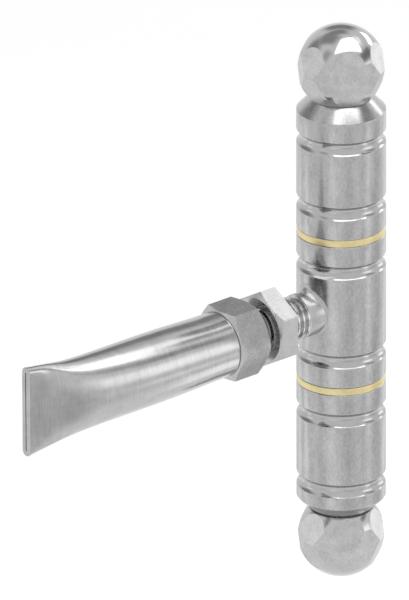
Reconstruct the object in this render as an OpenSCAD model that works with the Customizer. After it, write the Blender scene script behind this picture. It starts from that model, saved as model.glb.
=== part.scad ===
// Barrel hinge with a screw-adjusted arm that ends in a flattened tube.
// Z runs up along the barrel and the arm points along -X.
// The origin is where the barrel axis crosses the arm axis.

/* [Barrel] */
// Outside diameter of the three knuckles
barrel_d = 24; // [22:0.5:30]
// Length of the middle knuckle
middle_len = 41; // [36:0.5:80]
// Length of each outer knuckle, with its end chamfer
outer_len = 37.4; // [34:0.2:80]
// Width and depth of the chamfer at each end of the barrel
end_chamfer = 3.35; // [2:0.05:4]
// Small bevel on the knuckle rims beside the washers
rim_bevel = 0.3; // [0.1:0.05:0.6]

/* [Turned grooves] */
// Width of a groove between its softened edges
groove_w = 3.2; // [2:0.1:4]
// Depth of a groove below the knuckle surface
groove_depth = 0.9; // [0.4:0.05:1.2]
// Radius of the softened edges of a groove
groove_edge = 0.3; // [0.1:0.05:0.5]
// Height of the two middle grooves above and below the arm axis
groove_middle = 12.95; // [10:0.05:16]
// Distance of the first groove of each outer knuckle from its washer
groove_first = 7.55; // [4:0.05:10]
// Distance of the second groove of the upper knuckle from its washer
groove_second_up = 26.25; // [16:0.05:29]
// Distance of the second groove of the lower knuckle from its washer
groove_second_low = 28.25; // [16:0.05:29]

/* [Washers] */
// Outside diameter of the two thrust washers
washer_d = 23.9; // [20:0.1:30]
// Thickness of each thrust washer
washer_t = 2; // [1:0.1:4]
// Small bevel on the washer rims
washer_bevel = 0.15; // [0.05:0.05:0.4]

/* [Pin] */
// Diameter of the journal that the middle knuckle turns on
journal_d = 14; // [13:0.5:15]
// Diameter of the pin inside the outer knuckles
shaft_d = 12; // [11:0.5:12.5]
// Diameter of the threaded pin ends
pin_thread_d = 10; // [8:0.5:10.5]
// Length of the threaded end beyond the barrel
pin_thread_len = 12; // [8:0.5:14]
// Clearance all round a turning or screwed fit
running_gap = 0.05; // [0.02:0.01:0.09]
// Clearance all round a seated fit
seat_gap = 0.02; // [0.01:0.01:0.05]
// Free play on each side of the middle knuckle
end_play = 0.05; // [0.03:0.01:0.2]

/* [Ball nuts] */
// Diameter of the ball nuts
ball_d = 23.7; // [22.5:0.1:30]
// Height of a ball's centre above the end of the barrel
ball_rise = 8; // [6:0.1:9]
// Distance across two opposite flats of a ball
ball_flats = 22; // [20:0.1:22.3]
// Angle by which the upper and lower flats lean from upright
flat_lean = 20; // [10:1:25]
// Extra depth of the threaded hole beyond the end of the pin
ball_hole_spare = 1; // [0.5:0.1:2]

/* [Threaded stud] */
// Diameter of the stud thread
stud_d = 12; // [12:0.5:12]
// Diameter of the plain shank at the barrel
shank_d = 12.2; // [12.15:0.05:13]
// Distance from the barrel axis to the first turn of the thread
thread_start = 15.6; // [14:0.1:16]
// Distance from the barrel axis to the free end of the stud
stud_end = 60; // [48:1:64]
// Radius of the weld fillet where the shank meets the barrel
foot_round = 1; // [0.6:0.1:1.4]
// Diameter of the spigot sunk in the middle knuckle
spigot_d = 9; // [6:0.5:10]
// Depth of the spigot below the barrel surface
spigot_depth = 3; // [1.5:0.1:3.5]

/* [Nuts] */
// Distance across the flats of both hexagon nuts
nut_flats = 19; // [17:0.5:22]
// Distance from the barrel axis to the lock nut
lock_nut_at = 23.7; // [20:0.1:25]
// Thickness of the lock nut
lock_nut_t = 6; // [4:0.5:8]
// Distance from the barrel axis to the tube nut
tube_nut_at = 33.5; // [33.4:0.1:38]
// Thickness of the tube nut
tube_nut_t = 10; // [6:0.5:11]
// Diameter of a nut face inside its chamfer
nut_face_d = 18.1; // [16:0.1:18.9]
// Length of the nut spigot inside the tube
nut_spigot_len = 5; // [3:0.5:8]

/* [Arm tube] */
// Outside diameter of the round end of the tube
tube_d = 18; // [18:0.5:18.5]
// Wall of the tube
tube_wall = 1.4; // [1:0.05:1.5]
// Distance from the barrel axis to the flattened end
arm_end = 111.1; // [106:0.1:150]
// Thickness of the flattened end over both walls
flat_t = 3.1; // [3.1:0.1:5]
// Squeeze of the long oval stretch, where 0 degrees is round and 45 degrees is flat
oval_squeeze = 8.7; // [4:0.1:15]
// Length over which the oval stretch closes to the flat end
close_len = 14.5; // [12:0.5:24]
// Length of the flat end
flat_len = 1.6; // [1:0.1:8]
// Further height gained by the flare at the free end
end_flare = 0.68; // [0:0.02:1.6]
// Rounding of the outer edge at the nut end of the tube
tube_edge = 0.5; // [0.2:0.1:0.8]

/* [Hidden] */
$fn = 96;

barrel_r = barrel_d / 2;
journal_half = middle_len / 2 + end_play + washer_t;
barrel_end = journal_half + outer_len;

// round-bottomed groove: arc radius, arc centre from the axis, half width at the surface
groove_r = groove_w * groove_w / (8 * groove_depth) + groove_depth / 2;
groove_c = barrel_r - groove_depth + groove_r;
groove_rim = barrel_r - groove_edge;
groove_half = sqrt(pow(groove_r + groove_edge, 2) - pow(groove_c - groove_rim, 2));

pin_thread_r = pin_thread_d / 2;
pin_bevel = 1;
// gap that lets a ball nut clamp the knuckle before it meets the pin shoulder
clamp_gap = 0.3;
flat_angles = [0, 60, 120, 180, 240, 300];

stud_bore_r = stud_d / 2 + running_gap;
stud_bevel = 1.2;
shank_r = shank_d / 2;
spigot_r = spigot_d / 2;
// plan view of the weld fillet: distance of the arc centres and half width at the barrel
foot_c = sqrt(pow(barrel_r + foot_round, 2) - pow(shank_r + foot_round, 2));
foot_half = (shank_r + foot_round) * barrel_r / (barrel_r + foot_round);

nut_corner_r = nut_flats / 2 / cos(30);
nut_chamfer_h = (nut_corner_r - nut_face_d / 2) * tan(30);
bore_flare = 0.6;

tube_r = tube_d / 2;
tube_at = tube_nut_at + tube_nut_t;
// the tube turns oval past the nut spigot, then closes, and flares a little at the free end
shaped_at = tube_at + 2.5;
oval_at = tube_at + nut_spigot_len;
oval_run = 17.5;
close_at = arm_end - flat_len - close_len;
flare_len = 5.4;
// oval inside the rim of even width, given by the diagonal of its half height and half thickness
rim = flat_t / 2;
oval_span = (tube_r - rim) * sqrt(2);
ring_points = 44;
oval_steps = 12;
close_steps = 13;
ring_steps = oval_steps + close_steps + 1;
// the shaped stretch starts a hair inside the wall of the round collar
loft_lap = 0.01;
collar_lap = 0.4;

// Barrel

module groove_shape() {
    translate([groove_c, 0]) circle(r = groove_r);
    for (side = [-1, 1])
        difference() {
            polygon([[groove_rim, side * groove_half], [groove_c, 0], [groove_c, side * groove_half]]);
            translate([groove_rim, side * groove_half]) circle(r = groove_edge);
        }
}

// turned sleeve standing on z = 0, with a bevel at each end and round-bottomed grooves
module knuckle(length, bore_r, low_bevel, top_bevel, grooves) {
    rotate_extrude()
        difference() {
            polygon([
                [bore_r, 0], [barrel_r - low_bevel, 0], [barrel_r, low_bevel],
                [barrel_r, length - top_bevel], [barrel_r - top_bevel, length], [bore_r, length]
            ]);
            for (height = grooves)
                translate([0, height]) groove_shape();
        }
}

module outer_knuckle(grooves) {
    translate([0, 0, journal_half])
        knuckle(outer_len, shaft_d / 2 + seat_gap, rim_bevel, end_chamfer, grooves);
}

module upper_knuckle() {
    color("silver") outer_knuckle([groove_first, groove_second_up]);
}

module lower_knuckle() {
    color("silver") mirror([0, 0, 1]) outer_knuckle([groove_first, groove_second_low]);
}

module middle_knuckle() {
    color("silver")
        difference() {
            translate([0, 0, -middle_len / 2])
                knuckle(middle_len, journal_d / 2 + running_gap, rim_bevel, rim_bevel,
                    [middle_len / 2 - groove_middle, middle_len / 2 + groove_middle]);
            along_arm(barrel_r - spigot_depth)
                cylinder(r = spigot_r + seat_gap, h = spigot_depth + 1);
        }
}

module washer() {
    rotate_extrude()
        polygon([
            [journal_d / 2 + running_gap, 0], [washer_d / 2 - washer_bevel, 0], [washer_d / 2, washer_bevel],
            [washer_d / 2, washer_t - washer_bevel], [washer_d / 2 - washer_bevel, washer_t],
            [journal_d / 2 + running_gap, washer_t]
        ]);
}

module upper_washer() {
    color([0.83, 0.77, 0.58]) translate([0, 0, journal_half - washer_t]) washer();
}

module lower_washer() {
    color([0.83, 0.77, 0.58]) mirror([0, 0, 1]) translate([0, 0, journal_half - washer_t]) washer();
}

// shouldered pin: thick journal in the middle, thinner shafts, threaded ends
module hinge_pin() {
    color("gray")
        rotate_extrude()
            polygon([
                [0, -barrel_end - pin_thread_len],
                [pin_thread_r - pin_bevel, -barrel_end - pin_thread_len],
                [pin_thread_r, -barrel_end - pin_thread_len + pin_bevel],
                [pin_thread_r, -barrel_end + clamp_gap],
                [shaft_d / 2, -barrel_end + clamp_gap],
                [shaft_d / 2, -journal_half],
                [journal_d / 2, -journal_half],
                [journal_d / 2, journal_half],
                [shaft_d / 2, journal_half],
                [shaft_d / 2, barrel_end - clamp_gap],
                [pin_thread_r, barrel_end - clamp_gap],
                [pin_thread_r, barrel_end + pin_thread_len - pin_bevel],
                [pin_thread_r - pin_bevel, barrel_end + pin_thread_len],
                [0, barrel_end + pin_thread_len]
            ]);
}

// Ball nuts

// ball with eighteen flats, sitting on z = 0 with a blind hole from below
module ball_nut() {
    difference() {
        translate([0, 0, ball_rise]) sphere(d = ball_d);
        translate([-ball_d, -ball_d, -ball_d]) cube([2 * ball_d, 2 * ball_d, ball_d]);
        for (turn = flat_angles, lean = [-flat_lean, 0, flat_lean])
            translate([0, 0, ball_rise])
                rotate([0, -lean, turn + (lean == 0 ? 30 : 0)])
                    translate([ball_flats / 2, -ball_d / 2, -ball_d / 2]) cube([ball_d / 2, ball_d, ball_d]);
        translate([0, 0, -1])
            cylinder(r = pin_thread_r + running_gap, h = pin_thread_len + ball_hole_spare + 1);
    }
}

module upper_ball_nut() {
    color("lightgray") translate([0, 0, barrel_end]) ball_nut();
}

module lower_ball_nut() {
    color("lightgray") mirror([0, 0, 1]) translate([0, 0, barrel_end]) ball_nut();
}

// Stud and nuts

// turns +Z onto the arm direction and starts at a distance from the barrel axis
module along_arm(distance) {
    rotate([0, -90, 0]) translate([0, 0, distance]) children();
}

// fillet of revolution round the shank, tangent to the front line of the barrel
module foot_flare() {
    along_arm(0)
        rotate_extrude()
            difference() {
                translate([0, barrel_r / 2])
                    square([shank_r + foot_round, barrel_r / 2 + foot_round]);
                translate([shank_r + foot_round, barrel_r + foot_round]) circle(r = foot_round);
            }
}

// plan view that keeps the same fillet tangent to the round sides of the barrel
module foot_plan() {
    difference() {
        union() {
            translate([-barrel_r - foot_round, -shank_r]) square([barrel_r, 2 * shank_r]);
            translate([-foot_c, -foot_half]) square([foot_c, 2 * foot_half]);
        }
        for (side = [-1, 1])
            translate([-foot_c, side * (shank_r + foot_round)]) circle(r = foot_round);
    }
}

module threaded_stud() {
    color("silver") {
        difference() {
            union() {
                along_arm(barrel_r / 2) cylinder(r = shank_r, h = thread_start - barrel_r / 2);
                intersection() {
                    foot_flare();
                    linear_extrude(height = 2 * shank_d, center = true) foot_plan();
                }
            }
            cylinder(r = barrel_r + seat_gap, h = 2 * shank_d, center = true);
        }
        along_arm(barrel_r - spigot_depth + seat_gap)
            cylinder(r = spigot_r, h = thread_start - barrel_r + spigot_depth - seat_gap);
        along_arm(thread_start)
            rotate_extrude()
                polygon([
                    [0, 0], [stud_d / 2, 0], [stud_d / 2, stud_end - thread_start - stud_bevel],
                    [stud_d / 2 - stud_bevel, stud_end - thread_start], [0, stud_end - thread_start]
                ]);
    }
}

// hexagon bar cut to a nut body, chamfered on its far end and, if asked, on its near end
module nut_body(thickness, near_chamfer) {
    intersection() {
        cylinder(r = nut_corner_r, h = thickness, $fn = 6);
        rotate_extrude()
            polygon([
                [0, 0],
                [near_chamfer ? nut_face_d / 2 : nut_corner_r + 1, 0],
                [near_chamfer ? nut_corner_r : nut_corner_r + 1, near_chamfer ? nut_chamfer_h : 0.5],
                [nut_corner_r, thickness - nut_chamfer_h],
                [nut_face_d / 2, thickness],
                [0, thickness]
            ]);
    }
}

// threaded bore with a countersink at its near mouth and, if asked, at its far mouth
module nut_bore(depth, far_mouth) {
    translate([0, 0, -1]) cylinder(r = stud_bore_r, h = depth + 2);
    cylinder(r1 = stud_bore_r + bore_flare, r2 = stud_bore_r, h = bore_flare);
    if (far_mouth)
        translate([0, 0, depth - bore_flare])
            cylinder(r1 = stud_bore_r, r2 = stud_bore_r + bore_flare, h = bore_flare);
}

module lock_nut() {
    color("lightgray")
        along_arm(lock_nut_at)
            difference() {
                nut_body(lock_nut_t, false);
                nut_bore(lock_nut_t, true);
            }
}

// nut with a spigot that is welded into the round end of the tube
module tube_nut() {
    color("darkgray")
        along_arm(tube_nut_at)
            difference() {
                union() {
                    rotate([0, 0, 30]) nut_body(tube_nut_t, true);
                    cylinder(r = tube_r - tube_wall - seat_gap, h = tube_nut_t + nut_spigot_len);
                }
                nut_bore(tube_nut_t + nut_spigot_len, false);
            }
}

// Flattened tube

function ease(t) = let (c = min(1, max(0, t))) c * c * (3 - 2 * c);

// squeeze angle at a distance x from the barrel axis: 45 is round and 90 is flat
function squeeze(x) =
    45 + oval_squeeze * ease((x - oval_at) / oval_run) + (45 - oval_squeeze) * ease((x - close_at) / close_len);

// half height and half thickness of the oval at a distance x; its girth hardly changes
function half_h(x) =
    oval_span * sin(squeeze(x)) + end_flare * pow(max(0, (x - arm_end) / flare_len + 1), 1.3);
function half_t(x) = oval_span * cos(squeeze(x));

// one closed ring of points: the oval with the rim round it, moved inwards by inset
function ring(x, inset) = [
    for (i = [0 : ring_points - 1])
        let (
            a = (i + 0.5) * 360 / ring_points,
            h = half_h(x),
            t = half_t(x),
            reach = norm([t * sin(a), h * cos(a)])
        )
            [
                -x,
                t * t * sin(a) / reach + (rim - inset) * sin(a),
                h * h * cos(a) / reach + (rim - inset) * cos(a)
            ]
];

// distance of ring k: round over the nut spigot, even steps to the closing stretch and along it
function station(k) =
    k == 0 ? shaped_at
    : k <= oval_steps ? oval_at + (close_at - oval_at) * (k - 1) / (oval_steps - 1)
    : k < ring_steps ? close_at + close_len * (k - oval_steps) / close_steps
    : arm_end;

// index of point i on ring k, with the inner rings stored after the outer rings
function spot(k, i, inner) = (inner ? ring_steps + 1 : 0) * ring_points + k * ring_points + i % ring_points;

module flattened_stretch() {
    rings = [
        for (inner = [false, true], k = [0 : ring_steps])
            each ring(station(k), inner ? tube_wall - loft_lap : loft_lap)
    ];
    skins = [
        for (inner = [false, true], k = [0 : ring_steps - 1], i = [0 : ring_points - 1], half = [0, 1])
            let (
                a = spot(k, i, inner),
                b = spot(k, i + 1, inner),
                c = spot(k + 1, i + 1, inner),
                d = spot(k + 1, i, inner),
                face = half == 0 ? [a, b, c] : [a, c, d]
            )
                inner ? face : [face[2], face[1], face[0]]
    ];
    ends = [
        for (k = [0, ring_steps], i = [0 : ring_points - 1], half = [0, 1])
            let (
                a = spot(k, i, false),
                b = spot(k, i + 1, false),
                c = spot(k, i + 1, true),
                d = spot(k, i, true),
                face = half == 0 ? [a, c, b] : [a, d, c]
            )
                k == 0 ? [face[2], face[1], face[0]] : face
    ];
    polyhedron(points = rings, faces = concat(skins, ends));
}

// exact round collar over the nut spigot, with a softened outer edge
module round_collar() {
    along_arm(tube_at)
        rotate_extrude() {
            translate([tube_r - tube_wall, 0]) square([tube_wall - tube_edge, shaped_at - tube_at + collar_lap]);
            translate([tube_r - tube_edge, tube_edge]) square([tube_edge, shaped_at - tube_at + collar_lap - tube_edge]);
            translate([tube_r - tube_edge, tube_edge]) circle(r = tube_edge);
        }
}

module arm_tube() {
    color("silver") {
        round_collar();
        flattened_stretch();
    }
}

upper_knuckle();
middle_knuckle();
lower_knuckle();
hinge_pin();
upper_washer();
lower_washer();
upper_ball_nut();
lower_ball_nut();
threaded_stud();
lock_nut();
tube_nut();
arm_tube();
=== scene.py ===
"""Finished look of a tee hinge: a grooved barrel with ball nuts and a screw-adjusted tube arm."""

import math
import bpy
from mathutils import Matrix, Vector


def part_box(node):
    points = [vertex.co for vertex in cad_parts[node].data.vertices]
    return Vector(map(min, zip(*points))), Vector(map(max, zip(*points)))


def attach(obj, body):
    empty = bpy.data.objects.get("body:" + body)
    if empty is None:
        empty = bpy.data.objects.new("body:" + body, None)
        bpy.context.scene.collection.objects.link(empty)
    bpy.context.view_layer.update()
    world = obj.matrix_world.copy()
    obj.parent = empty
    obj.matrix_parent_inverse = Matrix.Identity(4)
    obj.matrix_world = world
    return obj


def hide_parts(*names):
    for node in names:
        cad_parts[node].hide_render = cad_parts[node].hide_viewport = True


bl_info = {
    "name": "Tee Hinge",
    "version": (1, 0, 0),
    "blender": (4, 5, 0),
    "location": "View3D > Sidebar > Tee Hinge",
    "description": "Barrel hinge with a screw-adjusted arm that ends in a flattened tube",
    "category": "Object",
}

import bmesh
import bpy
from bpy.props import FloatProperty, FloatVectorProperty, PointerProperty
from mathutils import Matrix, Vector

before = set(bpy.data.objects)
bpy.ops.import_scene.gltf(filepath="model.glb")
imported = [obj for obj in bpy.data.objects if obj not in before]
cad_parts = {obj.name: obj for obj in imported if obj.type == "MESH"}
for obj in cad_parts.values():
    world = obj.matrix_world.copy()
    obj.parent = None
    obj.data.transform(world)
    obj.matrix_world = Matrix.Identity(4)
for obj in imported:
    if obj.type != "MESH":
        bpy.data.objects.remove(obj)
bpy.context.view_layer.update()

MM = 0.001
TINY = 1e-7
ROUND_STEPS = 192
RIM_STEPS = 5
ARM = Matrix.Rotation(math.radians(-90), 4, "Y")
FLIP_Z = Matrix.Scale(-1, 4, (0, 0, 1))
WHITE = (1.0, 1.0, 1.0, 1.0)
SIXTHS = [math.radians(60 * k) for k in range(6)]

UPPER_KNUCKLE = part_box("upper_knuckle")
MIDDLE_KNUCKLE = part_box("middle_knuckle")
UPPER_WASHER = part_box("upper_washer")
LOCK_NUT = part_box("lock_nut")
TUBE_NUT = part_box("tube_nut")
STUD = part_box("threaded_stud")
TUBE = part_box("arm_tube")


# Sizes and colours. Lengths are in metres, and MM is one millimetre.

def length(label, text, default):
    """A length property in metres, given in millimetres."""
    return FloatProperty(
        name=label, description=text, default=default * MM, min=0.0,
        soft_max=0.2, unit="LENGTH", precision=5,
    )


def shade(label, text, default):
    """A linear colour property."""
    return FloatVectorProperty(
        name=label, description=text, default=default, size=3,
        min=0.0, max=1.0, subtype="COLOR",
    )


def angle(label, text, default):
    """An angle property, given in degrees."""
    return FloatProperty(
        name=label, description=text, default=math.radians(default), subtype="ANGLE",
    )


def share(label, text, default):
    """A property between 0 and 1."""
    return FloatProperty(
        name=label, description=text, default=default, min=0.0, max=1.0, subtype="FACTOR",
    )


class BarrelSizes(bpy.types.PropertyGroup):
    """Turned shapes of the knuckles and washers."""

    end_chamfer: length("End chamfer", "Width and depth of the chamfer at each barrel end", 3.8)
    rim_round: length("Rim rounding", "Rounding of the knuckle rims beside the washers", 0.3)
    groove_width: length("Groove width", "Width of a groove between its softened edges", 3.8)
    groove_depth: length("Groove depth", "Depth of a groove below the surface", 1.0)
    groove_edge: length("Groove edge", "Radius of the softened edges of a groove", 0.3)
    groove_middle: length("Middle grooves", "Height of the middle grooves from the arm axis", 12.95)
    groove_first: length("First grooves", "Distance of the first outer grooves from the washers", 7.55)
    groove_second_up: length("Second groove, upper", "Distance from the upper washer", 26.25)
    groove_second_low: length("Second groove, lower", "Distance from the lower washer", 28.25)
    bore: length("Pin bore", "Radius of the bore in the outer knuckles", 6.02)
    journal_bore: length("Journal bore", "Radius of the bore in the middle knuckle and washers", 7.05)
    washer_round: length("Washer rounding", "Rounding of the washer rims", 0.2)


class BallSizes(bpy.types.PropertyGroup):
    """Shape of the two ball nuts."""

    radius: length("Radius", "Radius of the ball", 11.85)
    rise: length("Rise", "Height of the centre above the barrel end", 8.0)
    flat_distance: length("Flats", "Distance of each flat from the centre", 11.0)
    lean: angle("Lean", "Lean of the upper and lower flats", 20)
    bore: length("Bore", "Radius of the blind hole", 5.05)
    bore_depth: length("Bore depth", "Depth of the blind hole", 13.0)


class StudSizes(bpy.types.PropertyGroup):
    """Thread and shank of the stud."""

    pitch: length("Pitch", "Advance of the thread in one turn", 1.75)
    crest: length("Crest radius", "Radius over the thread crests", 6.0)
    root: length("Root radius", "Radius at the thread roots", 5.0)
    shank: length("Shank radius", "Radius of the plain shank", 6.1)
    thread_start: length("Thread start", "Distance of the thread from the barrel axis", 15.6)
    foot_round: length("Foot rounding", "Fillet between the shank and the barrel at its side", 0.5)
    foot_top: length("Top fillet", "Further fillet radius above the shank", 1.9)
    tip_bevel: length("Tip bevel", "Bevel at the free end of the thread", 1.2)


class NutSizes(bpy.types.PropertyGroup):
    """Shape of both hexagon nuts."""

    half_flats: length("Half flats", "Distance of a flat from the nut axis", 9.5)
    face: length("Face radius", "Radius of a nut face inside its chamfer", 9.05)
    bore: length("Bore radius", "Radius of the threaded bore", 6.05)
    mouth: length("Countersink", "Width of the countersink of the bore", 0.6)
    edge: length("Edge", "Softening of the edges between the flats", 0.15)
    thickness: length("Tube nut thickness", "Thickness of the hexagon of the tube nut", 10.0)


class TubeSizes(bpy.types.PropertyGroup):
    """Shape of the flattened tube."""

    wall: length("Wall", "Thickness of the wall", 1.4)
    flat: length("Flat thickness", "Thickness of the flattened end", 3.1)
    edge: length("Nut end edge", "Rounding of the outer edge beside the nut", 0.25)
    end_edge: length("Free end edge", "Softening of the edges of the flattened end", 0.12)


class Finishes(bpy.types.PropertyGroup):
    """Colours of the metals."""

    knuckle: shade("Knuckle steel", "Turned satin steel", (0.43, 0.43, 0.43))
    flats: shade("Flat steel", "Milled flats of the balls and nuts", (0.46, 0.46, 0.46))
    polish: shade("Polished steel", "Polished ball surface", (0.47, 0.47, 0.47))
    thread: shade("Thread steel", "Bright rolled thread", (0.5, 0.5, 0.5))
    tube: shade("Tube steel", "Brushed tube", (0.45, 0.45, 0.45))
    brass: shade("Brass", "Turned washers", (0.7, 0.6, 0.33))


class Studio(bpy.types.PropertyGroup):
    """Camera, floor and fill light."""

    azimuth: angle("Azimuth", "Turn of the camera round the object", -41.031)
    elevation: angle("Elevation", "Height of the camera above the horizon", 23.461)
    roll: angle("Roll", "Turn of the camera about its own axis", -0.194)
    lens: FloatProperty(
        name="Lens", description="Focal length on a sensor 36 mm wide",
        default=1000.0, min=50.0, unit="CAMERA",
    )
    distance: FloatProperty(
        name="Distance", description="Distance of the camera from its aim", default=4.4638,
        min=0.1, unit="LENGTH",
    )
    aim_left: length("Aim left", "Aim left of the barrel axis", 36.59)
    aim_up: length("Aim up", "Aim above the arm axis", 0.266)
    floor_drop: length("Floor", "Depth of the floor below the barrel centre", 260.0)
    floor_tone: share("Floor tone", "Grey of the floor under the lamps", 0.75)
    floor_glow: share("Floor glow", "Light of its own that camera and reflections see", 0.58)
    fill: share("Fill", "Grey of the light that comes from all round", 0.5)


SETTINGS = {
    "hinge_barrel": BarrelSizes,
    "hinge_balls": BallSizes,
    "hinge_stud": StudSizes,
    "hinge_nuts": NutSizes,
    "hinge_tube": TubeSizes,
    "hinge_finishes": Finishes,
    "hinge_studio": Studio,
}


# Mesh building

def arc(centre, radius, start, end, steps):
    """Points of an arc in the r-h plane, from one angle to another, in degrees."""
    points = []
    for k in range(steps + 1):
        a = math.radians(start + (end - start) * k / steps)
        points.append((centre[0] + radius * math.cos(a), centre[1] + radius * math.sin(a)))
    return points


def turned(outline, marked=()):
    """A bmesh of a closed (radius, height) outline turned about Z.

    Faces between two marked outline points get the second material.
    """
    bm = bmesh.new()
    rings = []
    for k in range(ROUND_STEPS):
        a = 2 * math.pi * k / ROUND_STEPS
        rings.append([bm.verts.new((r * math.cos(a), r * math.sin(a), h)) for r, h in outline])
    count = len(outline)
    for k in range(ROUND_STEPS):
        here, there = rings[k], rings[(k + 1) % ROUND_STEPS]
        for i in range(count):
            j = (i + 1) % count
            if max(outline[i][0], outline[j][0]) < TINY:
                continue
            face = bm.faces.new((here[i], there[i], there[j], here[j]))
            face.material_index = 1 if i in marked and j in marked else 0
    bmesh.ops.remove_doubles(bm, verts=bm.verts, dist=TINY)
    bmesh.ops.recalc_face_normals(bm, faces=bm.faces)
    return bm


def cut_flat(bm, point, normal):
    """Cuts the solid at a plane and closes it there with one face."""
    geometry = bm.verts[:] + bm.edges[:] + bm.faces[:]
    cut = bmesh.ops.bisect_plane(
        bm, geom=geometry, dist=TINY, plane_co=point, plane_no=normal, clear_outer=True,
    )
    rim = [e for e in cut["geom_cut"] if isinstance(e, bmesh.types.BMEdge) and e.is_boundary]
    if not rim:
        raise RuntimeError("a flat misses its piece")
    bmesh.ops.contextual_create(bm, geom=rim)


def band(bm, row, following, material=0):
    """Faces between two closed rows of equally many vertices."""
    for k, vertex in enumerate(row):
        n = (k + 1) % len(row)
        face = bm.faces.new((vertex, row[n], following[n], following[k]))
        face.material_index = material


def finish_piece(name, bm, materials, body, nodes, place=None, sharp_from=28.0):
    """Turns a bmesh into a shown piece that stands for CAD nodes and moves with a body.

    place moves it from where it was made, and edges of sharp_from degrees or more stay sharp.
    """
    if place is not None:
        bmesh.ops.transform(bm, matrix=place, verts=bm.verts)
    bmesh.ops.recalc_face_normals(bm, faces=bm.faces)
    mesh = bpy.data.meshes.new(name)
    bm.to_mesh(mesh)
    bm.free()
    for face in mesh.polygons:
        face.use_smooth = True
    mesh.set_sharp_from_angle(angle=math.radians(sharp_from))
    for material in materials:
        mesh.materials.append(material)
    piece = bpy.data.objects.new(name, mesh)
    bpy.context.scene.collection.objects.link(piece)
    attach(piece, body)
    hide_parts(*nodes)


# Shader node groups

def new_group(name, inputs, outputs):
    """An empty shader node group with named sockets of the kinds Float, Vector or Color."""
    group = bpy.data.node_groups.new(name, "ShaderNodeTree")
    add = group.interface.new_socket
    for label, kind, default in inputs:
        socket = add(name=label, in_out="INPUT", socket_type="NodeSocket" + kind)
        socket.default_value = default
    for label, kind in outputs:
        add(name=label, in_out="OUTPUT", socket_type="NodeSocket" + kind)
    entry = group.nodes.new("NodeGroupInput")
    exit_node = group.nodes.new("NodeGroupOutput")
    return group, entry, exit_node


def joined(tree, source, target):
    """Links one socket to another."""
    tree.links.new(source, target)


def math_node(tree, operation, first, second=None):
    """A Math node with linked sockets or plain numbers, returning its output."""
    node = tree.nodes.new("ShaderNodeMath")
    node.operation = operation
    for index, value in enumerate((first, second)):
        if value is None:
            continue
        if isinstance(value, (int, float)):
            node.inputs[index].default_value = value
        else:
            joined(tree, value, node.inputs[index])
    return node.outputs[0]


def grain_group():
    """Stretched noise: fine scratches, brushing or blotches, by the scale along each axis."""
    group, entry, exit_node = new_group(
        "Metal Grain",
        [
            ("Vector", "Vector", (0, 0, 0)),
            ("Scale", "Vector", (400, 400, 400)),
            ("Detail", "Float", 3),
            ("Contrast", "Float", 1),
        ],
        [("Mask", "Float")],
    )
    stretch = group.nodes.new("ShaderNodeVectorMath")
    stretch.operation = "MULTIPLY"
    noise = group.nodes.new("ShaderNodeTexNoise")
    noise.noise_dimensions = "3D"
    noise.inputs["Scale"].default_value = 1.0
    noise.inputs["Roughness"].default_value = 0.6
    joined(group, entry.outputs["Vector"], stretch.inputs[0])
    joined(group, entry.outputs["Scale"], stretch.inputs[1])
    joined(group, stretch.outputs[0], noise.inputs["Vector"])
    joined(group, entry.outputs["Detail"], noise.inputs["Detail"])
    centred = math_node(group, "SUBTRACT", noise.outputs[0], 0.5)
    scaled = math_node(group, "MULTIPLY", centred, entry.outputs["Contrast"])
    lifted = math_node(group, "ADD", scaled, 0.5)
    held = group.nodes.new("ShaderNodeClamp")
    joined(group, lifted, held.inputs["Value"])
    joined(group, held.outputs[0], exit_node.inputs["Mask"])


def tint_group():
    """Lightens and darkens a colour by two masks round their middle."""
    group, entry, exit_node = new_group(
        "Metal Tint",
        [
            ("Color", "Color", (0.5, 0.5, 0.5, 1.0)),
            ("Fine", "Float", 0.5),
            ("Fine Amount", "Float", 0.1),
            ("Broad", "Float", 0.5),
            ("Broad Amount", "Float", 0.1),
        ],
        [("Color", "Color")],
    )
    parts = []
    for label in ("Fine", "Broad"):
        middle = math_node(group, "SUBTRACT", entry.outputs[label], 0.5)
        parts.append(math_node(group, "MULTIPLY", middle, entry.outputs[label + " Amount"]))
    total = math_node(group, "ADD", parts[0], parts[1])
    factor = math_node(group, "ADD", total, 1.0)
    scale = group.nodes.new("ShaderNodeVectorMath")
    scale.operation = "SCALE"
    joined(group, entry.outputs["Color"], scale.inputs[0])
    joined(group, factor, scale.inputs["Scale"])
    joined(group, scale.outputs[0], exit_node.inputs["Color"])


def worn_group():
    """Roughness that wanders with two masks between two limits."""
    group, entry, exit_node = new_group(
        "Metal Roughness",
        [
            ("Fine", "Float", 0.5),
            ("Broad", "Float", 0.5),
            ("Low", "Float", 0.2),
            ("High", "Float", 0.4),
        ],
        [("Roughness", "Float")],
    )
    both = math_node(group, "ADD", entry.outputs["Fine"], entry.outputs["Broad"])
    mean = math_node(group, "MULTIPLY", both, 0.5)
    spread = math_node(group, "SUBTRACT", entry.outputs["High"], entry.outputs["Low"])
    swing = math_node(group, "MULTIPLY", mean, spread)
    value = math_node(group, "ADD", swing, entry.outputs["Low"])
    joined(group, value, exit_node.inputs["Roughness"])


# Materials

def place_group(tree, name, values):
    """The node group of that name placed in a material, with its own values."""
    node = tree.nodes.new("ShaderNodeGroup")
    node.node_tree = bpy.data.node_groups[name]
    for label, value in values.items():
        if isinstance(value, bpy.types.NodeSocket):
            joined(tree, value, node.inputs[label])
        else:
            node.inputs[label].default_value = value
    return node


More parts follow.
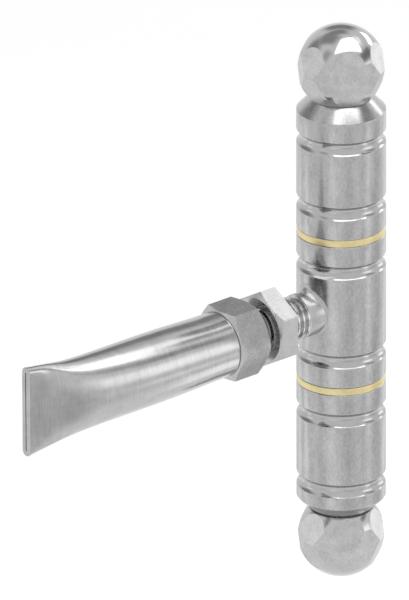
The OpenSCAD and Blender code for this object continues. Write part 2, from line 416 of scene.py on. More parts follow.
def metal(name, colour, fine, broad, tint, rough, bump):
    """A metal with fine grain and broad blotches in colour, gloss and relief.

    fine and broad hold (scale along each axis, detail, contrast), tint how much each of them
    tints the colour, rough the two limits and bump the strength and depth of the relief.
    """
    material = bpy.data.materials.new(name)
    material.use_nodes = True
    tree = material.node_tree
    shader = tree.nodes["Principled BSDF"]
    shader.inputs["Metallic"].default_value = 1.0
    where = tree.nodes.new("ShaderNodeTexCoord")
    masks = []
    for scale, detail, contrast in (fine, broad):
        node = place_group(tree, "Metal Grain", {
            "Vector": where.outputs["Object"],
            "Scale": scale,
            "Detail": detail,
            "Contrast": contrast,
        })
        masks.append(node.outputs["Mask"])
    tinted = place_group(tree, "Metal Tint", {
        "Color": (*colour, 1.0),
        "Fine": masks[0],
        "Fine Amount": tint[0],
        "Broad": masks[1],
        "Broad Amount": tint[1],
    })
    joined(tree, tinted.outputs["Color"], shader.inputs["Base Color"])
    gloss = place_group(tree, "Metal Roughness", {
        "Fine": masks[0],
        "Broad": masks[1],
        "Low": rough[0],
        "High": rough[1],
    })
    joined(tree, gloss.outputs["Roughness"], shader.inputs["Roughness"])
    relief = tree.nodes.new("ShaderNodeBump")
    relief.inputs["Strength"].default_value = bump[0]
    relief.inputs["Distance"].default_value = bump[1]
    joined(tree, masks[0], relief.inputs["Height"])
    joined(tree, relief.outputs["Normal"], shader.inputs["Normal"])
    return material


def make_materials(finishes):
    """All metals of the hinge, by the name of their finish."""
    grain_group()
    tint_group()
    worn_group()
    return {
        "knuckle": metal(
            "turned_steel", finishes.knuckle,
            fine=((1900, 1900, 1100), 4, 1.6), broad=((330, 330, 130), 4, 1.6),
            tint=(0.42, 0.3), rough=(0.14, 0.26), bump=(0.14, 0.01 * MM),
        ),
        "groove": metal(
            "groove_steel", finishes.knuckle,
            fine=((700, 700, 4200), 3, 1.4), broad=((330, 330, 900), 2, 1.4),
            tint=(0.14, 0.16), rough=(0.08, 0.16), bump=(0.12, 0.01 * MM),
        ),
        "flats": metal(
            "milled_flats", finishes.flats,
            fine=((1500, 1500, 1500), 3, 1.2), broad=((280, 280, 280), 4, 1.6),
            tint=(0.42, 0.34), rough=(0.18, 0.3), bump=(0.3, 0.02 * MM),
        ),
        "bright_flats": metal(
            "satin_nut", finishes.flats,
            fine=((2400, 2400, 2400), 4, 1.8), broad=((300, 300, 300), 3, 1.4),
            tint=(0.34, 0.2), rough=(0.16, 0.26), bump=(0.2, 0.02 * MM),
        ),
        "polish": metal(
            "polished_ball", finishes.polish,
            fine=((1200, 1200, 1200), 3, 1), broad=((300, 300, 300), 2, 1.2),
            tint=(0.08, 0.1), rough=(0.05, 0.14), bump=(0.05, 0.01 * MM),
        ),
        "shank": metal(
            "shank_steel", finishes.knuckle,
            fine=((3000, 900, 900), 3, 1.4), broad=((300, 300, 300), 2, 1.4),
            tint=(0.2, 0.16), rough=(0.2, 0.3), bump=(0.2, 0.01 * MM),
        ),
        "thread": metal(
            "thread_steel", finishes.thread,
            fine=((1500, 1500, 1500), 3, 1), broad=((300, 300, 300), 2, 1.2),
            tint=(0.2, 0.2), rough=(0.14, 0.24), bump=(0.1, 0.01 * MM),
        ),
        "tube": metal(
            "brushed_tube", finishes.tube,
            fine=((2800, 180, 180), 4, 1.6), broad=((240, 420, 420), 3, 1.5),
            tint=(0.26, 0.24), rough=(0.12, 0.22), bump=(0.2, 0.01 * MM),
        ),
        "brass": metal(
            "washer_brass_satin", finishes.brass,
            fine=((900, 900, 2600), 3, 1.4), broad=((260, 260, 260), 2, 1.4),
            tint=(0.26, 0.16), rough=(0.28, 0.4), bump=(0.2, 0.02 * MM),
        ),
    }


# Filled in main, before any piece is made
MATERIALS = {}


# Pieces

GROOVE_STEPS = 14


def groove_points(sizes, radius, height):
    """Outline of one round-bottomed groove with softened edges, from below to above."""
    depth, edge = sizes.groove_depth, sizes.groove_edge
    bowl = sizes.groove_width ** 2 / (8 * depth) + depth / 2
    centre = radius - depth + bowl
    rim = radius - edge
    half = math.sqrt((bowl + edge) ** 2 - (centre - rim) ** 2)
    turn = math.degrees(math.atan2(half, centre - rim))
    return (
        arc((rim, height - half), edge, 0, turn, RIM_STEPS)
        + arc((centre, height), bowl, 180 + turn, 180 - turn, GROOVE_STEPS)[1:-1]
        + arc((rim, height + half), edge, -turn, 0, RIM_STEPS)
    )


def knuckle_outline(sizes, radius, bore, top, chamfer, grooves):
    """Outline of a knuckle from h = 0 to the top, with the indices of its groove points.

    It is rounded below, and chamfered or rounded above.
    """
    edge = sizes.rim_round
    points = [(bore, 0.0)] + arc((radius - edge, edge), edge, -90, 0, RIM_STEPS)
    marked = set()
    for height in grooves:
        before = len(points)
        points += groove_points(sizes, radius, height)
        marked.update(range(before + 2, len(points) - 2))
    if chamfer:
        soft = edge * math.tan(math.radians(45 / 2))
        points += arc((radius - edge, top - chamfer - soft), edge, 0, 45, RIM_STEPS - 1)
        points += [(radius - chamfer, top)]
    else:
        points += arc((radius - edge, top - edge), edge, 0, 90, RIM_STEPS)
    return points + [(bore, top)], marked


class HINGE_OT_knuckles(bpy.types.Operator):
    """Turns the three grooved knuckles"""

    bl_idname = "hinge.knuckles"
    bl_label = "Knuckles"

    def execute(self, context):
        sizes = context.scene.hinge_barrel
        radius = UPPER_KNUCKLE[1].x
        low, high = UPPER_KNUCKLE[0].z, UPPER_KNUCKLE[1].z
        half = MIDDLE_KNUCKLE[1].z
        steel = [MATERIALS["knuckle"], MATERIALS["groove"]]
        for side, second in (("upper", sizes.groove_second_up), ("lower", sizes.groove_second_low)):
            outline = knuckle_outline(
                sizes, radius, sizes.bore, high - low, sizes.end_chamfer,
                [sizes.groove_first, second],
            )
            place = Matrix.Translation((0, 0, low))
            if side == "lower":
                place = FLIP_Z @ place
            finish_piece(
                side + "_knuckle_turned", turned(*outline), steel, "post_side",
                [side + "_knuckle"], place,
            )
        outline = knuckle_outline(
            sizes, radius, sizes.journal_bore, 2 * half, 0,
            [half - sizes.groove_middle, half + sizes.groove_middle],
        )
        finish_piece(
            "middle_knuckle_turned", turned(*outline), steel, "turning_knuckle",
            ["middle_knuckle"], Matrix.Translation((0, 0, -half)),
        )
        return {"FINISHED"}


class HINGE_OT_washers(bpy.types.Operator):
    """Turns the two brass washers"""

    bl_idname = "hinge.washers"
    bl_label = "Washers"

    def execute(self, context):
        sizes = context.scene.hinge_barrel
        radius = UPPER_WASHER[1].x
        low, high = UPPER_WASHER[0].z, UPPER_WASHER[1].z
        edge = sizes.washer_round
        outline = (
            [(sizes.journal_bore, low)]
            + arc((radius - edge, low + edge), edge, -90, 0, RIM_STEPS - 1)
            + arc((radius - edge, high - edge), edge, 0, 90, RIM_STEPS - 1)
            + [(sizes.journal_bore, high)]
        )
        for side, place in (("upper", None), ("lower", FLIP_Z)):
            finish_piece(
                side + "_washer_turned", turned(outline), [MATERIALS["brass"]], "post_side",
                [side + "_washer"], place,
            )
        return {"FINISHED"}


BALL_STEPS = 72


def ball_solid(sizes):
    """The ball over its seat at z = 0: polished surface, milled flats and a blind bore."""
    radius, rise = sizes.radius, sizes.rise
    seat = math.degrees(math.asin(rise / radius))
    outline = (
        [(sizes.bore, sizes.bore_depth), (sizes.bore, 0.0)]
        + arc((0, rise), radius, -seat, 90, BALL_STEPS)[:-1]
        + [(0.0, rise + radius), (0.0, sizes.bore_depth)]
    )
    bm = turned(outline)
    centre = Vector((0, 0, rise))
    for lean in (0.0, sizes.lean, -sizes.lean):
        for sixth in SIXTHS:
            turn = sixth + (math.radians(30) if lean == 0 else 0)
            level = math.cos(lean)
            normal = Vector((math.cos(turn) * level, math.sin(turn) * level, math.sin(lean)))
            cut_flat(bm, centre + normal * sizes.flat_distance, normal)
    slack = 0.1 * MM
    for face in bm.faces:
        middle = face.calc_center_median()
        milled = (middle - centre).length < radius - slack
        in_bore = math.hypot(middle.x, middle.y) < sizes.bore + slack
        bored = in_bore and middle.z < sizes.bore_depth + slack
        face.material_index = 1 if milled and not bored else 0
    return bm


class HINGE_OT_ball_nuts(bpy.types.Operator):
    """Makes the two ball nuts with their flats"""

    bl_idname = "hinge.ball_nuts"
    bl_label = "Ball nuts"

    def execute(self, context):
        sizes = context.scene.hinge_balls
        seat = Matrix.Translation((0, 0, UPPER_KNUCKLE[1].z))
        for side, place in (("upper", seat), ("lower", FLIP_Z @ seat)):
            finish_piece(
                side + "_ball_nut_cut", ball_solid(sizes),
                [MATERIALS["polish"], MATERIALS["flats"]], "post_side",
                [side + "_ball_nut"], place, sharp_from=12.0,
            )
        return {"FINISHED"}


STUD_STEPS = 96
FILLET_STEPS = 8
THREAD_STEPS = 14


def thread_share(turns):
    """Height of a rolled thread over its root, 0 to 1, at a number of turns.

    The wave is stretched past 0 and 1, so roots and crests are a little flat.
    """
    wave = 0.5 + 0.5 * math.cos(2 * math.pi * turns)
    return min(1.0, max(0.0, 1.35 * wave - 0.1))


def barrel_depth(radius, sideways):
    """Distance of the barrel surface from its axis along the arm, at a sideways offset."""
    return math.sqrt(max(radius ** 2 - sideways ** 2, 0.0))


def ring(point_at):
    """One ring round the arm axis: radius and distance at each angle, and that angle."""
    angles = [2 * math.pi * k / STUD_STEPS for k in range(STUD_STEPS)]
    return [(*point_at(a), a) for a in angles]


def shank_rings(sizes):
    """Rings of the stud from its hidden root over the fillet to the end of the plain shank."""
    barrel = UPPER_KNUCKLE[1].x
    shank = sizes.shank
    root = 0.7 * shank
    inside = 0.8 * barrel
    lift = 0.02 * MM
    rings = [
        ring(lambda a: (0.0, inside)),
        ring(lambda a: (root, inside)),
        ring(lambda a: (root, barrel_depth(barrel, root * math.cos(a)) + lift)),
    ]

    def fillet(a, t):
        """A point of the fillet, from the barrel at t = 0 to the shank at t = 1."""
        rounding = sizes.foot_round + sizes.foot_top * max(0.0, math.sin(a)) ** 3
        flare = shank + rounding
        base = barrel_depth(barrel, flare * math.cos(a))
        corner = barrel_depth(barrel, shank * math.cos(a))
        low, middle, high = (1 - t) ** 2, math.sqrt(2) * t * (1 - t), t ** 2
        whole = low + middle + high
        r = (low * flare + (middle + high) * shank) / whole
        h = (low * base + middle * corner + high * (corner + rounding)) / whole
        return r, h

    for k in range(FILLET_STEPS + 1):
        t = k / FILLET_STEPS
        rings.append(ring(lambda a: fillet(a, t)))
    start, bevel = sizes.thread_start, 0.1 * MM
    rings.append(ring(lambda a: (shank, start - 1.5 * bevel)))
    rings.append(ring(lambda a: (shank - bevel, start)))
    return rings


def thread_rings(sizes):
    """Rings of the rolled thread, each advancing by one pitch round the axis, and the tip."""
    tip, start, pitch = -STUD[0].x, sizes.thread_start, sizes.pitch

    def helix(a, turns):
        """A point of the thread at an angle, some turns after its start."""
        h = start + pitch * (turns - 1 + a / (2 * math.pi))
        h = min(max(h, start), tip)
        fade = min(1.0, (h - start) / (pitch / 2))
        depth = (sizes.crest - sizes.root) * (1 - thread_share(turns)) * fade
        return min(sizes.crest - depth, sizes.crest - sizes.tip_bevel + max(tip - h, 0.0)), h

    whole_turns = math.ceil((tip - start) / pitch) + 1
    rings = []
    for k in range(whole_turns * THREAD_STEPS + 1):
        turns = k / THREAD_STEPS
        rings.append(ring(lambda a: helix(a, turns)))
    return rings + [ring(lambda a: (0.0, tip))]


class HINGE_OT_stud(bpy.types.Operator):
    """Makes the stud with its rolled thread and its fillet at the barrel"""

    bl_idname = "hinge.stud"
    bl_label = "Threaded stud"

    def execute(self, context):
        sizes = context.scene.hinge_stud
        plain = shank_rings(sizes)
        bm = bmesh.new()
        made = [
            [bm.verts.new((-h, r * math.cos(a), r * math.sin(a))) for r, h, a in row]
            for row in plain + thread_rings(sizes)
        ]
        for index, (row, following) in enumerate(zip(made, made[1:])):
            band(bm, row, following, 0 if index < len(plain) - 1 else 1)
        bmesh.ops.remove_doubles(bm, verts=bm.verts, dist=2 * TINY)
        bmesh.ops.dissolve_degenerate(bm, edges=bm.edges, dist=TINY)
        finish_piece(
            "threaded_stud_rolled", bm, [MATERIALS["shank"], MATERIALS["thread"]],
            "turning_knuckle", ["threaded_stud"], sharp_from=35.0,
        )
        return {"FINISHED"}


# Turn of each hexagon about the arm axis
LOCK_NUT_TURN = math.radians(30)
TUBE_NUT_TURN = 0.0


def is_nut_corner(edge, least_length):
    """Whether an edge between two flats of a nut along Z is long enough to be softened."""
    if len(edge.link_faces) != 2:
        return False
    first, second = (face.normal for face in edge.link_faces)
    upright = max(abs(first.z), abs(second.z)) < 0.01
    return upright and first.angle(second) > math.radians(50) and edge.calc_length() > least_length


def nut_solid(sizes, thickness, near_chamfer, turn, spigot=None):
    """A hexagon nut on h = 0 along Z, chamfered on its far face.

    spigot holds the radius and length of a sleeve on the far face. Without it the bore is
    countersunk there. The blank reaches just beyond the corners, so that each flat cuts it.
    """
    corner = sizes.half_flats / math.cos(math.radians(30))
    drop = (corner - sizes.face) * math.tan(math.radians(30))
    beyond = 1.001 * corner
    bore, mouth = sizes.bore, sizes.mouth
    points = [(bore, mouth), (bore + mouth, 0.0)]
    if near_chamfer:
        points += [(sizes.face, 0.0), (beyond, drop)]
    else:
        points += [(beyond, 0.0)]
    points += [(beyond, thickness - drop), (sizes.face, thickness)]
    if spigot:
        sleeve, end = spigot[0], thickness + spigot[1]
        points += [(sleeve, thickness), (sleeve, end), (bore, end)]
    else:
        points += [(bore + mouth, thickness), (bore, thickness - mouth)]
    bm = turned(points)
    for sixth in SIXTHS:
        normal = Vector((math.cos(sixth + turn), math.sin(sixth + turn), 0))
        cut_flat(bm, normal * sizes.half_flats, normal)
    corners = [edge for edge in bm.edges if is_nut_corner(edge, 0.2 * thickness)]
    bmesh.ops.bevel(
        bm, geom=corners, offset=sizes.edge, segments=2, affect="EDGES", clamp_overlap=True,
    )
    return bm


class HINGE_OT_nuts(bpy.types.Operator):
    """Makes the lock nut and the tube nut"""

    bl_idname = "hinge.nuts"
    bl_label = "Nuts"

    def execute(self, context):
        sizes = context.scene.hinge_nuts
        near, far = -LOCK_NUT[1].x, -LOCK_NUT[0].x
        finish_piece(
            "lock_nut_cut", nut_solid(sizes, far - near, False, LOCK_NUT_TURN),
            [MATERIALS["bright_flats"]], "lock_nut", ["lock_nut"],
            ARM @ Matrix.Translation((0, 0, near)), sharp_from=20.0,
        )
        near, far = -TUBE_NUT[1].x, -TUBE_NUT[0].x
        tube_bore = pressed_to(-TUBE[1].x)[0] - context.scene.hinge_tube.wall
        clearance = 0.02 * MM
        spigot = (tube_bore - clearance, far - near - sizes.thickness)
        finish_piece(
            "tube_nut_cut", nut_solid(sizes, sizes.thickness, True, TUBE_NUT_TURN, spigot),
            [MATERIALS["flats"]], "arm", ["tube_nut"],
            ARM @ Matrix.Translation((0, 0, near)), sharp_from=20.0,
        )
        return {"FINISHED"}


TUBE_STEPS = 144
TUBE_STATIONS = 170

# Half thickness that is left inside the rim where the tube is pressed flat
THINNEST = 0.001 * MM

# Distance from the barrel axis, half height and half thickness of the tube, in millimetres
PRESSING = (
    (43.5, 9.0, 9.0),
    (48.5, 9.0, 9.0),
    (54.0, 9.22, 9.0),
    (62.0, 9.55, 8.97),
    (70.0, 9.72, 8.82),
    (77.0, 9.82, 8.5),
    (86.0, 9.98, 7.85),
    (93.0, 10.26, 7.15),
    (98.0, 10.74, 6.15),
    (101.0, 11.25, 5.0),
    (103.5, 11.7, 3.7),
    (105.7, 12.02, 2.5),
    (107.6, 12.28, 1.83),
    (109.4, 12.52, 1.6),
    (111.1, 12.76, 1.55),
)

# Spacing in millimetres and weights of the five places that one section is averaged from
BLEND_STEP = 1.2
BLEND_WEIGHTS = (1, 4, 6, 4, 1)


def along(rows, x):
    """Values of a table at x, by a smooth curve through its rows that never overshoots them."""
    last = len(rows) - 1
    k = 0
    while k < last - 1 and x > rows[k + 1][0]:
        k += 1
    before, left, right, after = rows[max(k - 1, 0)], rows[k], rows[k + 1], rows[min(k + 2, last)]
    run = right[0] - left[0]
    t = min(1.0, max(0.0, (x - left[0]) / run))
    values = []
    for i in range(1, len(left)):
        slopes = [
            (b[i] - a[i]) / (b[0] - a[0]) if b[0] > a[0] else 0.0
            for a, b in ((before, left), (left, right), (right, after))
        ]
        ends = [
            2 * p * q / (p + q) * run if p * q > 0 else 0.0
            for p, q in zip(slopes, slopes[1:])
        ]
        values.append(
            left[i] * (1 + 2 * t) * (1 - t) ** 2 + ends[0] * t * (1 - t) ** 2
            + right[i] * (3 - 2 * t) * t * t + ends[1] * (t - 1) * t * t
        )
    return values


def pressed_to(x):
    """Half height and half thickness of the tube at x.

    Each is blended from five places round x, which close up towards the ends of the tube.
    """
    first, last = PRESSING[0][0], PRESSING[-1][0]
    place = x / MM
    room = max(0.0, min(place - first, last - place))
    step = min(BLEND_STEP, room / 2)
    rows = [along(PRESSING, place + step * k) for k in (-2, -1, 0, 1, 2)]
    return [
        sum(weight * value for weight, value in zip(BLEND_WEIGHTS, values)) / sum(BLEND_WEIGHTS) * MM
        for values in zip(*rows)
    ]


def tube_section(sizes, x, inset, soften=0.0):
    """Closed section of the tube at a distance x: an oval with a rim of even width round it.

    inset takes the wall off for the inner side, and soften rounds the edge of an end.
    """
    rim = sizes.flat / 2
    height, depth = (half - rim for half in pressed_to(x))
    depth = max(depth, THINNEST)
    around = rim - inset - soften
    points = []
    for k in range(TUBE_STEPS):
        a = 2 * math.pi * (k + 0.5) / TUBE_STEPS
        c, s = math.cos(a), math.sin(a)
        reach = math.hypot(depth * c, height * s)
        y = depth * depth * c / reach + around * c
        z = height * height * s / reach + around * s
        points.append((-x, y, z))
    return points


class HINGE_OT_tube(bpy.types.Operator):
    """Makes the tube with its flattened, open end"""

    bl_idname = "hinge.tube"
    bl_label = "Arm tube"

    def execute(self, context):
        sizes = context.scene.hinge_tube
        near, far = -TUBE[1].x, -TUBE[0].x
        edge = sizes.edge
        run = far - near - edge - sizes.end_edge
        stations = [near + edge + run * k / TUBE_STATIONS for k in range(1, TUBE_STATIONS + 1)]
        rings = [
            tube_section(sizes, near + edge - back, 0.0, edge - out)
            for out, back in arc((0, 0), edge, 90, 0, RIM_STEPS)
        ]
        rings += [tube_section(sizes, x, 0.0) for x in stations]
        rings += [tube_section(sizes, far, 0.0, sizes.end_edge)]
        rings += [tube_section(sizes, x, sizes.wall) for x in [far] + stations[::-1] + [near]]
        bm = bmesh.new()
        made = [[bm.verts.new(point) for point in row] for row in rings]
        for row, following in zip(made, made[1:] + made[:1]):
            band(bm, row, following)
        finish_piece(
            "arm_tube_pressed", bm, [MATERIALS["tube"]], "arm", ["arm_tube"],
            sharp_from=40.0,
        )
        return {"FINISHED"}


# Stage

def set_out(holder):
    """Puts an object into the scene as a part of the stage."""
    bpy.context.scene.collection.objects.link(holder)


def aimed(azimuth, elevation, distance):
    """A step in a direction: azimuth from +X towards +Y and elevation, both in degrees."""
    a, e = math.radians(azimuth), math.radians(elevation)
    return Vector((math.cos(a) * math.cos(e), math.sin(a) * math.cos(e), math.sin(e))) * distance


def facing(holder, away, axis="Z", target=Vector()):
    """Puts a lamp or card a step away from its target and turns it back to that target."""
    turn = (-away).to_track_quat(axis, "Y").to_matrix().to_4x4()
    holder.matrix_world = Matrix.Translation(target + away) @ turn
    set_out(holder)


def softbox(name, azimuth, elevation, distance, size, brightness):
    """A rectangular lamp that faces the hinge. brightness is its radiance, with white at 1."""
    lamp = bpy.data.lights.new(name, "AREA")
    lamp.shape = "RECTANGLE"
    lamp.size, lamp.size_y = size
    lamp.energy = brightness * math.pi * size[0] * size[1]
    holder = bpy.data.objects.new(name, lamp)
    holder.visible_camera = False
    facing(holder, aimed(azimuth, elevation, distance), axis="-Z")


def even_tone(name, tone):
    """A material that shows one even tone whatever the light."""
    material = bpy.data.materials.new(name)
    material.use_nodes = True
    tree = material.node_tree
    tree.nodes.remove(tree.nodes["Principled BSDF"])
    glow = tree.nodes.new("ShaderNodeEmission")
    glow.inputs["Color"].default_value = WHITE
    glow.inputs["Strength"].default_value = tone
    joined(tree, glow.outputs[0], tree.nodes["Material Output"].inputs["Surface"])
    return material


def four_cornered_lamp(name, corners, tone):
    """A glowing sheet that lights the hinge and the floor and shows in reflections."""
    mesh = bpy.data.meshes.new(name)
    mesh.from_pydata([tuple(c) for c in corners], [], [(0, 1, 2, 3)])
    mesh.materials.append(even_tone(name, tone))
    holder = bpy.data.objects.new(name, mesh)
    holder.visible_camera = False
    holder.visible_shadow = False
    set_out(holder)


def soft_edge_group():
    """Fades a card out towards its four edges."""
    group, entry, exit_node = new_group(
        "Soft Edge",
        [("Vector", "Vector", (0, 0, 0)), ("Softness", "Float", 0.3)],
        [("Mask", "Float")],
    )
    split = group.nodes.new("ShaderNodeSeparateXYZ")
    joined(group, entry.outputs["Vector"], split.inputs[0])
    fades = []
    for axis in ("X", "Y"):
        off_middle = math_node(group, "SUBTRACT", split.outputs[axis], 0.5)
        off_edge = math_node(group, "SUBTRACT", 0.5, math_node(group, "ABSOLUTE", off_middle))
        fade = group.nodes.new("ShaderNodeMapRange")
        fade.interpolation_type = "SMOOTHSTEP"
        joined(group, off_edge, fade.inputs["Value"])
        joined(group, entry.outputs["Softness"], fade.inputs["From Max"])
        fades.append(fade.outputs[0])
    joined(group, math_node(group, "MULTIPLY", fades[0], fades[1]), exit_node.inputs["Mask"])


def soft_tone(name, tone, softness):
    """A material of one even tone on the front of its card that fades out towards the edges."""
    material = even_tone(name, tone)
    material.cycles.emission_sampling = "NONE"
    tree = material.node_tree
    where = tree.nodes.new("ShaderNodeTexCoord")
    fade = place_group(tree, "Soft Edge", {
        "Vector": where.outputs["Generated"],
        "Softness": softness,
    })
    clear = tree.nodes.new("ShaderNodeBsdfTransparent")
    mix = tree.nodes.new("ShaderNodeMixShader")
    back = tree.nodes.new("ShaderNodeNewGeometry").outputs["Backfacing"]
    joined(tree, math_node(tree, "SUBTRACT", fade.outputs["Mask"], back), mix.inputs[0])
    joined(tree, clear.outputs[0], mix.inputs[1])
    joined(tree, tree.nodes["Emission"].outputs[0], mix.inputs[2])
    joined(tree, mix.outputs[0], tree.nodes["Material Output"].inputs["Surface"])
    return material


def card_mesh(name, size, tone, softness):
    """A rectangle of one tone that only reflections see."""
    bm = bmesh.new()
    bmesh.ops.create_grid(bm, x_segments=1, y_segments=1, size=0.5)
    bmesh.ops.scale(bm, vec=(size[0], size[1], 1.0), verts=bm.verts)
    mesh = bpy.data.meshes.new(name)
    bm.to_mesh(mesh)
    bm.free()
    mesh.materials.append(soft_tone(name, tone, softness))
    holder = bpy.data.objects.new(name, mesh)
    for ray in ("camera", "diffuse", "shadow", "transmission"):
        setattr(holder, "visible_" + ray, False)
    return holder


def floor_card(name, azimuth, radius, size, tone, height, spin=0.0):
    """A card that lies flat, its length pointing away from the hinge."""
    holder = card_mesh(name, size, tone, softness=0.3)
    a = math.radians(azimuth)
    place = Matrix.Translation((radius * math.cos(a), radius * math.sin(a), height))
    holder.matrix_world = place @ Matrix.Rotation(a + math.radians(spin), 4, "Z")
    set_out(holder)


def nut_flat(x, half_flats, turn):
    """Middle of a nut's flat at x, its turn from +Z towards -Y in degrees."""
    a = math.radians(turn)
    return Vector((x, -half_flats * math.sin(a), half_flats * math.cos(a)))


def seen_white(tree):
    """1 for camera, glossy and transmission rays, else 0."""
    path = tree.nodes.new("ShaderNodeLightPath")
    first = math_node(tree, "MAXIMUM", path.outputs["Is Camera Ray"], path.outputs["Is Glossy Ray"])
    return math_node(tree, "MAXIMUM", first, path.outputs["Is Transmission Ray"])


# Azimuth and elevation of the overhead lamp's corners, seen from the upper ball
OVERHEAD = ((-159, 52), (-52, 39), (2, 60), (45, 82))
OVERHEAD_DISTANCE = 0.4

# Azimuth, elevation, distance, width, height, tone and softness of the cards round the hinge.
# A tone above 1 makes a highlight in the metal, and a low one makes a dark band.
CARDS = {
    "front_card": (-41, 34, 1.0, 0.7, 0.24, 0.4, 0.3),
    "back_card": (50, 31, 1.0, 0.8, 0.62, 0.36, 0.3),
    "back_shade": (62, 56, 0.95, 0.9, 0.5, 0.4, 0.35),
    "left_dim": (174, 45, 1.0, 0.5, 0.7, 0.6, 0.4),
    "nut_card": (-12, 55, 0.8, 0.46, 0.24, 1.75, 0.4),
    "left_shade": (116, 31, 1.0, 1.1, 0.9, 0.38, 0.4),
    "left_shade_high": (102, 62, 0.9, 0.7, 0.9, 0.42, 0.35),
    "left_card": (136, 3, 1.0, 0.5, 0.3, 1.45, 0.3),
    "low_card": (0, -6, 0.8, 0.5, 0.3, 1.9, 0.3),
    "side_card": (-56, 8, 0.9, 0.7, 0.55, 1.85, 0.4),
}

# Azimuth, elevation, distance, width, height (in millimetres), tone and softness of the small
# cards for faces whose mirror image would be another piece or a strip of the floor
NEAR_CARDS = {
    "flat_card": (0, 53, 14, 16, 18, 1.62, 0.15),
    "flat_shade": (-49, 24, 12, 17, 17, 0.7, 0.3),
    "end_shade": (-76, -22, 24, 38, 44, 0.7, 0.4),
    "ball_shade": (-52, 31, 50, 60, 28, 0.3, 0.4),
}

# Azimuth, distance, length, width and tone of the strips that lie round the hinge on the floor
STRIPS = (
    (97, 0.6, 0.6, 0.12, 1.35),
    (127, 0.6, 0.6, 0.18, 1.4),
    (176, 0.6, 0.7, 0.18, 0.8),
    (-154, 0.6, 0.7, 0.28, 1.22),
    (-112, 0.6, 0.7, 0.38, 0.8),
    (-73, 0.6, 0.7, 0.11, 0.82),
    (-58, 0.74, 0.5, 0.17, 1.4),
    (-28, 0.6, 0.7, 0.4, 0.78),
    (12, 0.6, 0.7, 0.16, 1.25),
    (49, 0.6, 0.7, 0.52, 0.6),
)


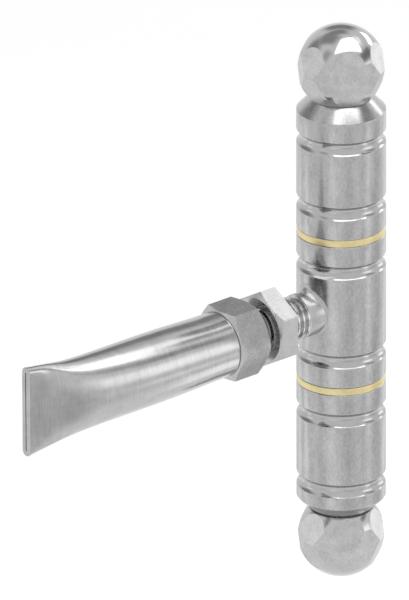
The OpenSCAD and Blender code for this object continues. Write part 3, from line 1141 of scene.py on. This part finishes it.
class HINGE_OT_stage(bpy.types.Operator):
    """Sets up the floor, the lamps, the cards and the camera"""

    bl_idname = "hinge.stage"
    bl_label = "Stage"

    def execute(self, context):
        scene = context.scene
        studio = scene.hinge_studio
        ball = Vector((0, 0, UPPER_KNUCKLE[1].z + scene.hinge_balls.rise))
        self.floor(studio)
        self.world(studio)
        self.lamps(ball)
        soft_edge_group()
        self.cards()
        self.near_cards(ball, scene.hinge_nuts.half_flats)
        self.floor_cards(studio)
        self.camera(studio)
        scene.view_settings.view_transform = "Standard"
        return {"FINISHED"}

    def floor(self, studio):
        """A round floor that the camera and the reflections see as white."""
        bm = bmesh.new()
        bmesh.ops.create_circle(bm, cap_ends=True, segments=96, radius=6.0)
        mesh = bpy.data.meshes.new("floor")
        bm.to_mesh(mesh)
        bm.free()
        material = bpy.data.materials.new("floor_white")
        material.use_nodes = True
        tree = material.node_tree
        shader = tree.nodes["Principled BSDF"]
        grey = studio.floor_tone
        shader.inputs["Base Color"].default_value = (grey, grey, grey, 1.0)
        shader.inputs["Roughness"].default_value = 0.8
        shader.inputs["Specular IOR Level"].default_value = 0.0
        shader.inputs["Emission Color"].default_value = WHITE
        seen = math_node(tree, "MULTIPLY", seen_white(tree), studio.floor_glow)
        joined(tree, seen, shader.inputs["Emission Strength"])
        material.cycles.emission_sampling = "NONE"
        mesh.materials.append(material)
        floor = bpy.data.objects.new("floor", mesh)
        floor.location.z = -studio.floor_drop
        set_out(floor)

    def world(self, studio):
        """White for the camera and the reflections, and a grey fill light for the rest."""
        world = bpy.data.worlds.new("studio")
        bpy.context.scene.world = world
        world.cycles.sampling_method = "NONE"
        world.use_nodes = True
        tree = world.node_tree
        tree.nodes.clear()
        mix = tree.nodes.new("ShaderNodeMixShader")
        joined(tree, seen_white(tree), mix.inputs[0])
        for index, grey in ((1, studio.fill), (2, 1.0)):
            light = tree.nodes.new("ShaderNodeBackground")
            light.inputs["Color"].default_value = (grey, grey, grey, 1.0)
            joined(tree, light.outputs[0], mix.inputs[index])
        out = tree.nodes.new("ShaderNodeOutputWorld")
        joined(tree, mix.outputs[0], out.inputs["Surface"])

    def lamps(self, ball):
        """A broad lamp overhead and a smaller one on the right."""
        corners = [ball + aimed(*direction, OVERHEAD_DISTANCE) for direction in OVERHEAD]
        four_cornered_lamp("overhead_box", corners, tone=3.2)
        softbox("right_box", 8, 26, distance=0.9, size=(0.42, 0.2), brightness=1.9)

    def cards(self):
        """Cards that stand well away and face the hinge's centre."""
        for name, (azimuth, elevation, distance, *size, tone, softness) in CARDS.items():
            holder = card_mesh(name, size, tone, softness)
            facing(holder, aimed(azimuth, elevation, distance))

    def near_cards(self, ball, half_flats):
        """Small cards, each close to one face of the hinge and turned to it.

        The faces are a flat of each nut, the flattened end of the tube and the upper ball.
        """
        targets = {
            "flat_card": nut_flat((LOCK_NUT[0].x + LOCK_NUT[1].x) / 2, half_flats, 30),
            "flat_shade": nut_flat(TUBE_NUT[1].x - 4.5 * MM, half_flats, 60),
            "end_shade": Vector((TUBE[0].x + 6.1 * MM, -2.0 * MM, 0)),
            "ball_shade": ball,
        }
        for name, (azimuth, elevation, *lengths, tone, softness) in NEAR_CARDS.items():
            distance, *size = (value * MM for value in lengths)
            holder = card_mesh(name, size, tone, softness)
            facing(holder, aimed(azimuth, elevation, distance), target=targets[name])

    def floor_cards(self, studio):
        """Strips round the hinge, one above the other by a millimetre, and a bar over them."""
        height = 4 * MM - studio.floor_drop
        for index, (azimuth, radius, *size, tone) in enumerate(STRIPS):
            floor_card("strip_%d" % index, azimuth, radius, size, tone, height + index * MM)
        bar_height = height + 20 * MM
        floor_card("low_bar", -44.7, 0.253, (0.24, 0.09), 1.8, bar_height, spin=-17)

    def camera(self, studio):
        """The camera of the photo, turned about the hinge's centre."""
        camera = bpy.data.cameras.new("camera")
        camera.lens = studio.lens
        camera.sensor_width = 36.0
        camera.clip_start, camera.clip_end = 0.1, 50.0
        holder = bpy.data.objects.new("camera", camera)
        turn = (
            Matrix.Rotation(studio.azimuth, 4, "Z")
            @ Matrix.Rotation(math.pi / 2 - studio.elevation, 4, "X")
            @ Matrix.Rotation(studio.roll, 4, "Z")
        )
        offset = Vector((-studio.aim_left, studio.aim_up, studio.distance))
        holder.matrix_world = turn @ Matrix.Translation(offset)
        bpy.context.scene.collection.objects.link(holder)
        bpy.context.scene.camera = holder


class HINGE_PT_panel(bpy.types.Panel):
    """Lists the pieces of the hinge and their sizes"""

    bl_idname = "HINGE_PT_panel"
    bl_label = "Tee Hinge"
    bl_space_type = "VIEW_3D"
    bl_region_type = "UI"
    bl_category = "Tee Hinge"

    def draw(self, context):
        for operator in OPERATORS:
            self.layout.operator(operator.bl_idname)
        for name, group in SETTINGS.items():
            box = self.layout.box()
            box.label(text=group.__doc__)
            for key in group.__annotations__:
                box.prop(getattr(context.scene, name), key)


OPERATORS = (
    HINGE_OT_stage,
    HINGE_OT_knuckles,
    HINGE_OT_washers,
    HINGE_OT_ball_nuts,
    HINGE_OT_stud,
    HINGE_OT_nuts,
    HINGE_OT_tube,
)
CLASSES = (*SETTINGS.values(), *OPERATORS, HINGE_PT_panel)


def register():
    """Registers the classes and hangs the settings on the scene."""
    for cls in CLASSES:
        bpy.utils.register_class(cls)
    for name, group in SETTINGS.items():
        setattr(bpy.types.Scene, name, PointerProperty(type=group))


def unregister():
    """Takes the settings and classes away again."""
    for name in SETTINGS:
        delattr(bpy.types.Scene, name)
    for cls in reversed(CLASSES):
        bpy.utils.unregister_class(cls)


def main():
    """Builds the whole picture."""
    register()
    MATERIALS.update(make_materials(bpy.context.scene.hinge_finishes))
    bpy.ops.hinge.stage()
    bpy.ops.hinge.knuckles()
    bpy.ops.hinge.washers()
    bpy.ops.hinge.ball_nuts()
    bpy.ops.hinge.stud()
    bpy.ops.hinge.nuts()
    bpy.ops.hinge.tube()


if __name__ == "__main__":
    main()
